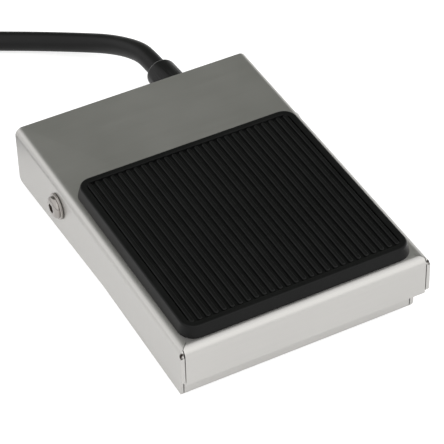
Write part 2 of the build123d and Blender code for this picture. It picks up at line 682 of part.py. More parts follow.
# Folded bracket on the right of the switch, with its foot riveted to the tray floor
bracket_top = switch_bottom + SWITCH_HOLE_HEIGHT + SWITCH_NUT_WIDTH / 2 + BRACKET_MARGIN
bracket_end = Plane(origin=(SWITCH_WIDTH / 2, SWITCH_Y, TRAY_FLOOR), x_dir=(1, 0, 0), z_dir=(0, -1, 0))
bracket_side = Plane(origin=(SWITCH_WIDTH / 2, SWITCH_Y, switch_bottom), x_dir=(0, 1, 0), z_dir=(1, 0, 0))
with BuildPart() as switch_bracket:
    bracket_line = [(0, bracket_top - TRAY_FLOOR), (0, 0), (BRACKET_FOOT, 0)]
    extrude(folded_section(bracket_end, bracket_line, Side.LEFT), amount=BRACKET_LENGTH / 2, both=True)
    with BuildSketch(bracket_side):
        with Locations((0, SWITCH_HOLE_HEIGHT)):
            with GridLocations(SWITCH_HOLE_SPACING, 0, 2, 1):
                Circle(SWITCH_HOLE_DIAMETER / 2)
    extrude(amount=SHEET, mode=Mode.SUBTRACT)
    with BuildSketch(tray_floor):
        with Locations((RIVET_X, SWITCH_Y)):
            with GridLocations(0, RIVET_SPACING, 1, 2):
                Circle(RIVET_DIAMETER / 2)
    extrude(amount=SHEET, mode=Mode.SUBTRACT)
save(switch_bracket.part, "switch_bracket")

with BuildPart() as switch_screws:
    head_face = Plane(origin=(-SWITCH_WIDTH / 2, SWITCH_Y, switch_bottom), x_dir=(0, 1, 0), z_dir=(1, 0, 0))
    nut_face = SWITCH_WIDTH / 2 + SHEET
    with BuildSketch(head_face):
        with Locations((0, SWITCH_HOLE_HEIGHT)):
            with GridLocations(SWITCH_HOLE_SPACING, 0, 2, 1):
                Circle(SWITCH_SCREW_HEAD / 2)
    extrude(amount=-SWITCH_SCREW_HEAD_HEIGHT)
    with BuildSketch(head_face):
        with Locations((0, SWITCH_HOLE_HEIGHT)):
            with GridLocations(SWITCH_HOLE_SPACING, 0, 2, 1):
                Circle(SWITCH_SCREW_DIAMETER / 2)
    extrude(amount=SWITCH_WIDTH / 2 + nut_face + SWITCH_NUT_HEIGHT + SCREW_REACH / 2)
save(switch_screws.part, "switch_screws")

with BuildPart() as switch_nuts:
    with BuildSketch(bracket_side.offset(SHEET)):
        with Locations((0, SWITCH_HOLE_HEIGHT)):
            with GridLocations(SWITCH_HOLE_SPACING, 0, 2, 1):
                RegularPolygon(SWITCH_NUT_WIDTH / 2, 6, major_radius=False)
                Circle(SWITCH_HOLE_DIAMETER / 2, mode=Mode.SUBTRACT)
    extrude(amount=SWITCH_NUT_HEIGHT)
save(switch_nuts.part, "switch_nuts")

with BuildPart() as bracket_rivets:
    with BuildSketch(tray_floor.offset(SHEET)):
        with Locations((RIVET_X, SWITCH_Y)):
            with GridLocations(0, RIVET_SPACING, 1, 2):
                Circle(RIVET_HEAD / 2)
    extrude(amount=RIVET_HEAD_HEIGHT)
    fillet(bracket_rivets.faces().sort_by(Axis.Z)[-2:].edges(), RIVET_HEAD_HEIGHT * HEAD_ROUNDING)
    with BuildSketch(tray_floor.offset(SHEET)):
        with Locations((RIVET_X, SWITCH_Y)):
            with GridLocations(0, RIVET_SPACING, 1, 2):
                Circle(RIVET_DIAMETER / 2)
    extrude(amount=-2 * SHEET)
save(bracket_rivets.part, "bracket_rivets")

# Cable gland in the tray's back wall, turned about the cable's line
gland_side = Plane(origin=(GLAND_X, TRAY_REAR, GLAND_HEIGHT), x_dir=(0, 1, 0), z_dir=(1, 0, 0))
gland_axis = Axis((GLAND_X, TRAY_REAR, GLAND_HEIGHT), (0, 1, 0))
gland_bore = CABLE_DIAMETER / 2 + CABLE_CLEARANCE
flange_end = GASKET_THICKNESS + GLAND_FLANGE
cap_end = GLAND_REACH
cap_start = cap_end - GLAND_CAP_LENGTH
seal_end = cap_end - CAP_LIP
seal_start = seal_end - SEAL_LENGTH
with BuildPart() as gland_gasket:
    with BuildSketch(gland_plane):
        Circle(GLAND_FLANGE_DIAMETER / 2)
        Circle(GLAND_THREAD / 2 + CABLE_CLEARANCE, mode=Mode.SUBTRACT)
    extrude(amount=GASKET_THICKNESS)
save(gland_gasket.part, "gland_gasket")

with BuildPart() as gland_body:
    with BuildSketch(gland_side):
        with BuildLine():
            Polyline(
                (-GLAND_TAIL, gland_bore),
                (-GLAND_TAIL, GLAND_THREAD / 2),
                (GASKET_THICKNESS, GLAND_THREAD / 2),
                (GASKET_THICKNESS, GLAND_FLANGE_DIAMETER / 2),
                (flange_end, GLAND_FLANGE_DIAMETER / 2),
                (flange_end, SPIGOT_DIAMETER / 2),
                (seal_start, SPIGOT_DIAMETER / 2),
                (seal_start, gland_bore),
                close=True,
            )
        make_face()
    revolve(axis=gland_axis)
save(gland_body.part, "gland_body")

with BuildPart() as gland_nut:
    with BuildSketch(gland_plane.offset(-SHEET)):
        RegularPolygon(GLAND_NUT_WIDTH / 2, 6, major_radius=False)
        Circle(GLAND_THREAD / 2 + CABLE_CLEARANCE, mode=Mode.SUBTRACT)
    extrude(amount=-GLAND_NUT_THICKNESS)
save(gland_nut.part, "gland_nut")

with BuildPart() as gland_seal:
    with BuildSketch(gland_plane.offset(seal_start)):
        Circle(SEAL_DIAMETER / 2)
        Circle(CABLE_DIAMETER / 2, mode=Mode.SUBTRACT)
    extrude(amount=SEAL_LENGTH)
save(gland_seal.part, "gland_seal")

with BuildPart() as gland_cap:
    with BuildSketch(gland_plane.offset(cap_start)):
        Circle(GLAND_NOSE_DIAMETER / 2)
    extrude(amount=GLAND_CAP_LENGTH, taper=GLAND_NOSE_TAPER)
    fillet(gland_cap.faces().sort_by(Axis.Y)[-1].edges(), GLAND_SHOULDER)
    chamfer(gland_cap.faces().sort_by(Axis.Y)[0].edges(), CAP_EDGE)
    with BuildSketch(gland_plane.offset(cap_start)):
        Circle(gland_bore)
    extrude(amount=GLAND_CAP_LENGTH, mode=Mode.SUBTRACT)
    with BuildSketch(gland_plane.offset(cap_start)):
        Circle(SPIGOT_DIAMETER / 2 + CABLE_CLEARANCE)
    extrude(amount=seal_end - cap_start, mode=Mode.SUBTRACT)
save(gland_cap.part, "gland_cap")

# The cable inside the gland, and its three insulated wires to the switch and the earth stud
with BuildPart() as inner_cable:
    with BuildSketch(gland_plane.offset(cap_end)):
        Circle(CABLE_DIAMETER / 2)
    extrude(amount=-INNER_CABLE_LENGTH)
save(inner_cable.part, "inner_cable")

sheath_end = Plane(origin=(GLAND_X, SHEATH_END, GLAND_HEIGHT), x_dir=(-1, 0, 0), z_dir=(0, 1, 0))
wire_height = (TRAY_FLOOR + switch_bottom) / 2
wire_middle = (SHEATH_END - WIRE_FALL + SWITCH_Y + LANE_START) / 2
front_terminal = SWITCH_Y + TERMINAL_PLACES[0]
back_terminal = SWITCH_Y + TERMINAL_PLACES[2]
blade_face = -TERMINAL_THICKNESS / 2
inner_lane = -SWITCH_WIDTH / 2 - SWITCH_SCREW_HEAD_HEIGHT - CORE_SPACE - CORE_DIAMETER / 2
outer_lane = inner_lane - CORE_DIAMETER - CORE_SPACE
tag_end = EARTH_Y - TAG_DIAMETER / 2 + TAG_LENGTH
barrel_height = TRAY_FLOOR + TAG_BARREL / 2
wire_starts = []
for turn in (90, 330, 210):
    across = CORE_OFFSET * math.cos(math.radians(turn))
    above = CORE_OFFSET * math.sin(math.radians(turn))
    start = sheath_end.from_local_coords((across, above, 0))
    wire_starts.append([tuple(start), (start.X, start.Y - CORE_STRAIGHT, start.Z)])
wire_routes = {
    "wire_front": [
        *wire_starts[0],
        tuple(sheath_end.from_local_coords((7.5, -2.4, -WIRE_FALL))),
        (-2.0, wire_middle + CORE_SPACE, 6.4),
        (outer_lane, SWITCH_Y + LANE_START, wire_height),
        (outer_lane, front_terminal, wire_height),
        (blade_face, front_terminal, wire_height),
    ],
    "wire_back": [
        *wire_starts[1],
        tuple(sheath_end.from_local_coords((4.9, -6.2, -WIRE_FALL))),
        (3.6, wire_middle, 4.9),
        (inner_lane + 0.5, SWITCH_Y + LANE_START - CORE_DIAMETER - CORE_SPACE, wire_height),
        (inner_lane, back_terminal, wire_height),
        (blade_face, back_terminal, wire_height),
    ],
    "wire_earth": [
        *wire_starts[2],
        tuple(sheath_end.from_local_coords((-4.4, -6.9, -9.4))),
        (EARTH_X, tag_end + 1.6, barrel_height),
        (EARTH_X, tag_end - CRIMP_DEPTH, barrel_height),
    ],
}
for label, route in wire_routes.items():
    with BuildPart() as wire:
        with BuildLine():
            line = FilletPolyline(*route, radius=bend_radii(route))
        with BuildSketch(Plane(origin=line @ 0, z_dir=line % 0)):
            Circle(CORE_DIAMETER / 2)
        sweep(path=line)
    save(wire.part, label)

# Earth stud welded to the tray floor, with its ring tag and nut
earth_place = Plane(origin=(EARTH_X, EARTH_Y, TRAY_FLOOR))
with BuildPart() as earth_stud:
    with BuildSketch(earth_place):
        Circle(SCREW_DIAMETER / 2)
    extrude(amount=EARTH_STUD_HEIGHT)
    chamfer(earth_stud.faces().sort_by(Axis.Z)[-1].edges(), SPRING_PIN_CHAMFER)
save(earth_stud.part, "earth_stud")

barrel_plane = Plane(origin=(EARTH_X, tag_end, barrel_height), x_dir=(-1, 0, 0), z_dir=(0, 1, 0))
with BuildPart() as earth_tag:
    with BuildSketch(earth_place):
        Circle(TAG_DIAMETER / 2)
        Rectangle(TAG_BARREL, TAG_LENGTH - TAG_DIAMETER / 2, align=(Align.CENTER, Align.MIN))
        Circle(SCREW_DIAMETER / 2 + SCREW_CLEARANCE, mode=Mode.SUBTRACT)
    extrude(amount=TAG_THICKNESS)
    with BuildSketch(barrel_plane):
        Circle(TAG_BARREL / 2)
    extrude(amount=-TAG_BARREL_LENGTH)
    with BuildSketch(barrel_plane):
        Circle(CORE_DIAMETER / 2 + LEVER_PIN_CLEARANCE)
    extrude(amount=-CRIMP_DEPTH, mode=Mode.SUBTRACT)
save(earth_tag.part, "earth_tag")

with BuildPart() as earth_nut:
    with BuildSketch(earth_place.offset(TAG_THICKNESS)):
        RegularPolygon(NUT_WIDTH / 2, 6, major_radius=False)
        Circle(SCREW_DIAMETER / 2 + SCREW_CLEARANCE / 2, mode=Mode.SUBTRACT)
    extrude(amount=NUT_HEIGHT)
save(earth_nut.part, "earth_nut")

# Lead from the gland's mouth down to the floor and away to the coil
lead_start = [(GLAND_X, NOSE_END, GLAND_HEIGHT), (GLAND_X, NOSE_END + LEAD_STRAIGHT, GLAND_HEIGHT)]
lead_points = lead_start + LEAD_ROUTE
with BuildPart() as cable_lead:
    with BuildLine():
        lead_line = FilletPolyline(*lead_points, radius=bend_radii(lead_points))
    with BuildSketch(Plane(origin=lead_line @ 0, z_dir=lead_line % 0)):
        Circle(CABLE_DIAMETER / 2)
    sweep(path=lead_line)
save(cable_lead.part, "cable_lead")

# Coil of the spare length, as the outer shape of its turns, with a slot for the tie round them
coil_inner = COIL_RADIUS - COIL_COLUMNS * CABLE_DIAMETER / 2
coil_outer = COIL_RADIUS + COIL_COLUMNS * CABLE_DIAMETER / 2
coil_shoulder = COIL_LAYERS * CABLE_DIAMETER
coil_top = coil_shoulder + CABLE_DIAMETER
coil_plane = Plane(
    origin=(*COIL_CENTRE, 0),
    x_dir=(math.cos(math.radians(TIE_ANGLE)), math.sin(math.radians(TIE_ANGLE)), 0),
    z_dir=(math.sin(math.radians(TIE_ANGLE)), -math.cos(math.radians(TIE_ANGLE)), 0),
)


def coil_section(growth=0.0, lift=0.0):
    """Outline of the stacked turns, lifted off the floor and grown all round."""
    with BuildSketch(coil_plane) as section:
        Polygon(
            (coil_inner, lift),
            (coil_outer, lift),
            (coil_outer, lift + coil_shoulder),
            (COIL_RADIUS + CABLE_DIAMETER / 2, lift + coil_top),
            (COIL_RADIUS - CABLE_DIAMETER / 2, lift + coil_top),
            (coil_inner, lift + coil_shoulder),
            align=None,
        )
        fillet(section.vertices(), COIL_CORNER)
        if growth:
            offset(amount=growth, mode=Mode.REPLACE)
    return section.sketch


with BuildPart() as cable_coil:
    revolve(coil_section(), axis=Axis((*COIL_CENTRE, 0), (0, 0, 1)))
    with BuildSketch(coil_plane):
        with Locations((COIL_RADIUS, coil_top / 2)):
            Rectangle(coil_outer - coil_inner + CABLE_DIAMETER, coil_top + CABLE_DIAMETER)
    extrude(amount=TIE_WIDTH / 2, both=True, mode=Mode.SUBTRACT)
    extrude(coil_section(lift=TIE_THICKNESS), amount=TIE_WIDTH / 2, both=True)
save(cable_coil.part, "cable_coil")

with BuildPart() as cable_tie:
    extrude(coil_section(TIE_THICKNESS, TIE_THICKNESS), amount=TIE_WIDTH / 2, both=True)
    extrude(coil_section(lift=TIE_THICKNESS), amount=TIE_WIDTH / 2, both=True, mode=Mode.SUBTRACT)
    with BuildSketch(coil_plane):
        with Locations((coil_inner - TIE_THICKNESS / 2, coil_shoulder / 2)):
            Rectangle(TIE_HEAD, TIE_HEAD, align=(Align.MAX, Align.CENTER))
    extrude(amount=TIE_WIDTH / 2, both=True)
save(cable_tie.part, "cable_tie")

# Free end of the cable, with its three wires stripped and tipped
with BuildPart() as cable_tail:
    with BuildLine():
        tail_line = FilletPolyline(*TAIL_ROUTE, radius=bend_radii(TAIL_ROUTE))
    with BuildSketch(Plane(origin=tail_line @ 0, z_dir=tail_line % 0)):
        Circle(CABLE_DIAMETER / 2)
    sweep(path=tail_line)
save(cable_tail.part, "cable_tail")

tail_end = tail_line @ 1
tail_way = tail_line % 1
tail_side = tail_way.cross(Vector(0, 0, 1)).normalized()
tail_up = tail_side.cross(tail_way)
free_ends = []
for label, turn, spread in (
    ("free_wire_left", 210, -FREE_CORE_SPREAD),
    ("free_wire_middle", 90, 0.1 * FREE_CORE_SPREAD),
    ("free_wire_right", 330, FREE_CORE_SPREAD),
):
    start = tail_end + tail_side * CORE_OFFSET * math.cos(math.radians(turn))
    start += tail_up * CORE_OFFSET * math.sin(math.radians(turn))
    route = [tuple(start), tuple(start + tail_way * CORE_STRAIGHT)]
    for part, share in ((0.6, 0.42), (1.0, 1.0)):
        point = start + tail_way * FREE_CORE_LENGTH * part + tail_side * spread * share
        floor_height = CORE_DIAMETER / 2 + (start.Z - CORE_DIAMETER / 2) * (1 - part) ** 2 + 0.05
        route.append((point.X, point.Y, floor_height))
    with BuildPart() as free_wire:
        with BuildLine():
            line = FilletPolyline(*route, radius=bend_radii(route))
        with BuildSketch(Plane(origin=line @ 0, z_dir=line % 0)):
            Circle(CORE_DIAMETER / 2)
        sweep(path=line)
    save(free_wire.part, label)
    free_ends.append(Plane(origin=line @ 1, z_dir=line % 1))

with BuildPart() as wire_ferrules:
    for end in free_ends:
        with BuildSketch(end):
            Circle(FERRULE_DIAMETER / 2)
        extrude(amount=FERRULE_LENGTH)
save(wire_ferrules.part, "wire_ferrules")

# The bends of the lead and the tail, and their volumes beside section times length
cable_section = math.pi * CABLE_DIAMETER**2 / 4
for label, route, line, piece in (
    ("cable_lead", lead_points, lead_line, cable_lead.part),
    ("cable_tail", TAIL_ROUTE, tail_line, cable_tail.part),
):
    print(label, "radii", [round(radius, 1) for radius in bend_radii(route)])
    print(label, "length", round(line.length, 1), "volume", round(piece.volume, 1))
    print(label, "section times length", round(cable_section * line.length, 1))
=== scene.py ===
"""Foot switch: a ribbed rubber pad on a folded steel pedal, hinged on a steel tray, with a black lead."""

import math

import bmesh
import bpy
import numpy as np
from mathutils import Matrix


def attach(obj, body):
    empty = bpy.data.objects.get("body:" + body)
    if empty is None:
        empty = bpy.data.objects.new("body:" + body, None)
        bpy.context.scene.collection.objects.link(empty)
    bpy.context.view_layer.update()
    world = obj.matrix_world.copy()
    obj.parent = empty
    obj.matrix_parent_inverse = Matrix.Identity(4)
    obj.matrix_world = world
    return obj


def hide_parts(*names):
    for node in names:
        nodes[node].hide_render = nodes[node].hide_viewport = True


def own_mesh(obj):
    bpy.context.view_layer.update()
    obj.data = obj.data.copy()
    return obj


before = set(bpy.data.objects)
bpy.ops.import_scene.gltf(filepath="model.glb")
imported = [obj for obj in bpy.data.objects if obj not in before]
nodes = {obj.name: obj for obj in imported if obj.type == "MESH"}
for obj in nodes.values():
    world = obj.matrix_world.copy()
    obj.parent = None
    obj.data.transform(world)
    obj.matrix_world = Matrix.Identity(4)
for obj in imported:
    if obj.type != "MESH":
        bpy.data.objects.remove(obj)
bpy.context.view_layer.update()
studio = bpy.context.scene
studio.view_settings.view_transform = "Standard"

# Camera: a short telephoto held in front of the pedal's left corner and well above it, at the
# photograph's angle. It looks at the middle of the pedal, with a small shift to place the frame.
AIM = (0.0, -0.0099, 0.0135)
CAMERA_DISTANCE = 0.72204
CAMERA_AZIMUTH = math.radians(27.41)
CAMERA_ELEVATION = math.radians(42.53)
CAMERA_ROLL = math.radians(-0.9)
FRAME_PIXELS = 444
FOCAL_PIXELS = 2270.4
SHIFT_PIXELS = (8.5, 16.0)

towards_camera = np.array([
    -math.sin(CAMERA_AZIMUTH) * math.cos(CAMERA_ELEVATION),
    -math.cos(CAMERA_AZIMUTH) * math.cos(CAMERA_ELEVATION),
    math.sin(CAMERA_ELEVATION),
])
level_right = np.array([math.cos(CAMERA_AZIMUTH), -math.sin(CAMERA_AZIMUTH), 0.0])
plain_up = np.cross(towards_camera, level_right)
camera_right = level_right * math.cos(CAMERA_ROLL) + plain_up * math.sin(CAMERA_ROLL)
camera_up = plain_up * math.cos(CAMERA_ROLL) - level_right * math.sin(CAMERA_ROLL)
camera_place = np.eye(4)
camera_place[:3, :3] = np.column_stack([camera_right, camera_up, towards_camera])
camera_place[:3, 3] = np.array(AIM) + towards_camera * CAMERA_DISTANCE

lens = bpy.data.cameras.new("camera")
lens.sensor_width = 36.0
lens.lens = FOCAL_PIXELS / FRAME_PIXELS * lens.sensor_width
lens.shift_x = -SHIFT_PIXELS[0] / FRAME_PIXELS
lens.shift_y = SHIFT_PIXELS[1] / FRAME_PIXELS
lens.clip_start = 0.01
camera = bpy.data.objects.new("camera", lens)
studio.collection.objects.link(camera)
camera.matrix_world = camera_place.T.tolist()
studio.camera = camera

# Lead: 1.8 m of round three-core cable in a black PVC sheath, 7 mm thick. It comes out of the gland's
# nose, sinks to the floor and runs back to a tied coil of its spare length, whose end is stripped.
CABLE_RADIUS = 0.0035
LEAD_POINTS = [
    (0.0179, 0.0710, 0.0150),
    (0.0179, 0.0837, 0.0150),
    (0.0168, 0.0922, 0.0135),
    (0.0129, 0.1042, 0.0093),
    (0.0056, 0.1142, 0.0059),
    (-0.0070, 0.1246, 0.0041),
    (-0.0234, 0.1347, 0.0035),
    (-0.0410, 0.1448, 0.0035),
    (-0.0582, 0.1566, 0.0035),
]
TAIL_POINTS = [
    (-0.1349, 0.1110, 0.0105),
    (-0.1342, 0.0980, 0.0086),
    (-0.1316, 0.0850, 0.0049),
    (-0.1272, 0.0730, 0.0036),
]
COIL_MIDDLE = (-0.0880, 0.1185)
COIL_OUTER = 0.0470
COIL_PITCH = 0.00685
COIL_START = 56.0
COIL_STEP = 12.0
COIL_TURNED = 6 * 360 + 124
COIL_CHANGE = (250, 360)
COIL_LAST_CHANGE = (240, 318)
TIE_TURN = 324.0
TIE_SPREAD = 16.0
TIE_LIFT = 0.0011


def coil_seats():
    """Radius and height of the cable's middle in each turn: three on the floor, three on them, one on top.
    The pitch is a little under the cable's width, as the tied turns press on each other."""
    outer, middle, inner = (COIL_OUTER - step * COIL_PITCH for step in range(3))
    low, second, top = (CABLE_RADIUS + step * COIL_PITCH for step in range(3))
    return np.array([
        (outer, low), (middle, low), (inner, low),
        (inner, second), (middle, second), (middle, top), (outer, second),
    ])


def coil_points():
    """Points of the coil. The turn counted in degrees gives the seat, and over the last third of each turn
    radius and height go over to the next seat by a smooth step, earlier where the cable comes off the top.
    The curve cuts the corners between its points, so they lie outside its radius by 4 / (3 + cos step)."""
    seats = coil_seats()
    turned = np.arange(COIL_STEP, COIL_TURNED, COIL_STEP)
    place = np.zeros((len(turned), 2)) + seats[0]
    for turn in range(6):
        first, last = COIL_LAST_CHANGE if turn == 5 else COIL_CHANGE
        share = np.clip((turned - 360 * turn - first) / (last - first), 0, 1)
        share = (share * share * (3 - 2 * share))[:, None]
        place = place * (1 - share) + seats[turn + 1] * share
    from_tie = (turned % 360 - TIE_TURN) / TIE_SPREAD
    lift = TIE_LIFT * np.exp(-from_tie**2)
    angle = np.radians(COIL_START + turned)
    reach = place[:, 0] * 4 / (3 + math.cos(math.radians(COIL_STEP)))
    return np.column_stack([
        COIL_MIDDLE[0] + reach * np.cos(angle),
        COIL_MIDDLE[1] + reach * np.sin(angle),
        place[:, 1] + lift,
    ])


def node_adder(tree):
    """A function that adds a node of a kind to a tree, with its inputs and properties set."""
    def add(kind, **settings):
        made = tree.nodes.new(kind)
        for key, value in settings.items():
            if key in made.inputs:
                made.inputs[key].default_value = value
            else:
                setattr(made, key, value)
        return made

    return add


def new_finish(name):
    """A material with its shader, and two functions: one adds a node with its settings, one joins sockets."""
    material = bpy.data.materials.new(name)
    material.use_nodes = True
    tree = material.node_tree
    return material, tree.nodes["Principled BSDF"], node_adder(tree), tree.links.new


def shaded(colour, share):
    """A colour made darker or lighter by a share, with its alpha."""
    return (*[min(value * share, 1.0) for value in colour], 1)


def matt_finish(name, colour, gloss, shine, fine, broad, shades, spread, relief, gloss_from_fine=False):
    """Plastic or rubber: a broad noise takes the colour between two shades, a fine one makes the bump, and
    one of them takes the gloss from its value less spread[0] to its value plus spread[1]."""
    material, shader, add, join = new_finish(name)
    shader.inputs["Specular IOR Level"].default_value = shine
    where = add("ShaderNodeTexCoord")
    fine_noise = add("ShaderNodeTexNoise", **fine)
    broad_noise = add("ShaderNodeTexNoise", **broad)
    tone = add("ShaderNodeMix", data_type="RGBA")
    tone.inputs[6].default_value = shaded(colour, shades[0])
    tone.inputs[7].default_value = shaded(colour, shades[1])
    rough = add("ShaderNodeMapRange")
    rough.inputs["To Min"].default_value = gloss - spread[0]
    rough.inputs["To Max"].default_value = gloss + spread[1]
    bump = add("ShaderNodeBump", Strength=relief[0], Distance=relief[1])
    join(where.outputs["Object"], fine_noise.inputs["Vector"])
    join(where.outputs["Object"], broad_noise.inputs["Vector"])
    join(broad_noise.outputs["Fac"], tone.inputs[0])
    join(tone.outputs[2], shader.inputs["Base Color"])
    gloss_noise = fine_noise if gloss_from_fine else broad_noise
    join(gloss_noise.outputs["Fac"], rough.inputs["Value"])
    join(rough.outputs["Result"], shader.inputs["Roughness"])
    join(fine_noise.outputs["Fac"], bump.inputs["Height"])
    join(bump.outputs["Normal"], shader.inputs["Normal"])
    return material


def sheath_finish(name, colour, gloss):
    """Smooth extruded plastic: nearly plain, with a faint mottle in its gloss and slow waves along it."""
    return matt_finish(
        name, colour, gloss, shine=0.26,
        fine={"Scale": 900.0, "Detail": 3.0},
        broad={"Scale": 60.0, "Detail": 2.0},
        shades=(0.75, 1.3), spread=(0.06, 0.06), relief=(0.12, 0.0001), gloss_from_fine=True,
    )


black_sheath = sheath_finish("black_sheath", (0.0055, 0.0055, 0.0055), 0.40)
cable_line = bpy.data.curves.new("cable", "CURVE")
cable_line.dimensions = "3D"
cable_line.bevel_depth = CABLE_RADIUS
cable_line.bevel_resolution = 6
cable_line.resolution_u = 6
cable_line.use_fill_caps = True
spline = cable_line.splines.new("NURBS")
cable_points = np.vstack([LEAD_POINTS, coil_points(), TAIL_POINTS])
spline.points.add(len(cable_points) - 1)
spline.points.foreach_set("co", np.column_stack([cable_points, np.ones(len(cable_points))]).ravel())
spline.order_u = 3
spline.use_endpoint_u = True
cable = bpy.data.objects.new("cable", cable_line)
studio.collection.objects.link(cable)
cable.data.materials.append(black_sheath)
cable.visible_glossy = False
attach(cable, "base")
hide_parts("cable_lead", "cable_coil", "cable_tail")

# Room: a white table top and a pale room, as for a catalogue picture. A big soft window stands in
# front and above, and the back of the room is dark, which is what the flat steel top mirrors.
TABLE_REACH = 3.0
TABLE_SHOWN = 0.72
TABLE_MIRRORED = 0.36
table_mesh = bpy.data.meshes.new("table_top")
table_corners = [(x * TABLE_REACH, y * TABLE_REACH, 0) for x, y in ((-1, -1), (1, -1), (1, 1), (-1, 1))]
table_mesh.from_pydata(table_corners, [], [(0, 1, 2, 3)])
table_top = bpy.data.objects.new("table_top", table_mesh)
studio.collection.objects.link(table_top)
white_table, table_shader, add, join = new_finish("white_table")
table_shader.inputs["Base Color"].default_value = (0.55, 0.55, 0.55, 1)
table_shader.inputs["Roughness"].default_value = 1.0
table_shader.inputs["Specular IOR Level"].default_value = 0.0
table_shader.inputs["Emission Color"].default_value = (1, 1, 1, 1)
ray = add("ShaderNodeLightPath")
seen = add("ShaderNodeMath", operation="MAXIMUM")
mirrored = add("ShaderNodeMath", operation="MULTIPLY")
shown = add("ShaderNodeMath", operation="MULTIPLY_ADD")
mirrored.inputs[1].default_value = TABLE_MIRRORED
shown.inputs[1].default_value = TABLE_SHOWN
join(ray.outputs["Is Camera Ray"], seen.inputs[0])
join(ray.outputs["Is Transmission Ray"], seen.inputs[1])
join(ray.outputs["Is Glossy Ray"], mirrored.inputs[0])
join(seen.outputs[0], shown.inputs[0])
join(mirrored.outputs[0], shown.inputs[2])
join(shown.outputs[0], table_shader.inputs["Emission Strength"])
table_mesh.materials.append(white_table)

DARK_SIDE = (0.30, 0.80, 0.50)
WINDOW_SIDE = (0.25, -0.72, 0.65)
sky = bpy.data.worlds.new("pale_room")
studio.world = sky
sky.use_nodes = True
sky_tree = sky.node_tree
backdrop = sky_tree.nodes["Background"]
sky_node = node_adder(sky_tree)


def sky_lobe(direction, inner, outer):
    """Socket that is 1 within an angle of a direction and fades to 0 at a wider one: the view direction's
    dot product with it, put on a smooth step between the two cosines."""
    way = np.array(direction) / np.linalg.norm(direction)
    dot = sky_node("ShaderNodeVectorMath", operation="DOT_PRODUCT")
    dot.inputs[1].default_value = way
    step = sky_node("ShaderNodeMapRange", interpolation_type="SMOOTHSTEP")
    step.inputs["From Min"].default_value = math.cos(math.radians(outer))
    step.inputs["From Max"].default_value = math.cos(math.radians(inner))
    sky_tree.links.new(sky_way.outputs["Generated"], dot.inputs[0])
    sky_tree.links.new(dot.outputs["Value"], step.inputs["Value"])
    return step.outputs["Result"]


sky_way = sky_node("ShaderNodeTexCoord")
sky_height = sky_node("ShaderNodeSeparateXYZ")
sky_ramp = sky_node("ShaderNodeValToRGB")
sky_tree.links.new(sky_way.outputs["Generated"], sky_height.inputs[0])
sky_tree.links.new(sky_height.outputs["Z"], sky_ramp.inputs["Fac"])
for place, level in ((0.0, 0.62), (0.10, 0.70), (0.30, 1.0), (1.0, 1.05)):
    stop = sky_ramp.color_ramp.elements.new(place)
    stop.color = (level, level, level, 1)
sky_ramp.color_ramp.elements.remove(sky_ramp.color_ramp.elements[0])
sky_ramp.color_ramp.elements.remove(sky_ramp.color_ramp.elements[-1])
darkened = sky_node("ShaderNodeMix", data_type="RGBA")
darkened.inputs[7].default_value = (0.150, 0.158, 0.141, 1)
brightened = sky_node("ShaderNodeMix", data_type="RGBA")
brightened.inputs[7].default_value = (1.25, 1.25, 1.24, 1)
sky_tree.links.new(sky_lobe(DARK_SIDE, 27, 40), darkened.inputs[0])
sky_tree.links.new(sky_ramp.outputs["Color"], darkened.inputs[6])
sky_tree.links.new(sky_lobe(WINDOW_SIDE, 22, 45), brightened.inputs[0])
sky_tree.links.new(darkened.outputs[2], brightened.inputs[6])
sky_ray = sky_node("ShaderNodeLightPath")
sky_shown = sky_node("ShaderNodeMix", data_type="RGBA")
sky_shown.inputs[7].default_value = (1, 1, 1, 1)
sky_tree.links.new(sky_ray.outputs["Is Camera Ray"], sky_shown.inputs[0])
sky_tree.links.new(brightened.outputs[2], sky_shown.inputs[6])
sky_tree.links.new(sky_shown.outputs[2], backdrop.inputs["Color"])

LAMP_WIDTH = 0.9
LAMP_WATTS = 5.0
LAMP_PLACE = (-0.5, -0.7, 1.1)
LAMP_TILT = math.radians(36)
LAMP_TURN = math.radians(-35)
lamp_data = bpy.data.lights.new("soft_lamp", "AREA")
lamp_data.shape = "DISK"
lamp_data.size = LAMP_WIDTH
lamp_data.energy = LAMP_WATTS
lamp = bpy.data.objects.new("soft_lamp", lamp_data)
studio.collection.objects.link(lamp)
lamp.location = LAMP_PLACE
lamp.rotation_euler = (LAMP_TILT, 0, LAMP_TURN)
lamp.visible_glossy = False


# Base tray: brushed stainless steel sheet, 1.2 mm thick, with deburred edges, folded up into a shallow
# tray with mitred corners. Its front lip and two rear tabs carry the rubber stops.
WELD_DISTANCE = 1e-6
FLAT_ANGLE = math.radians(0.5)
SHARP_ANGLE = 42


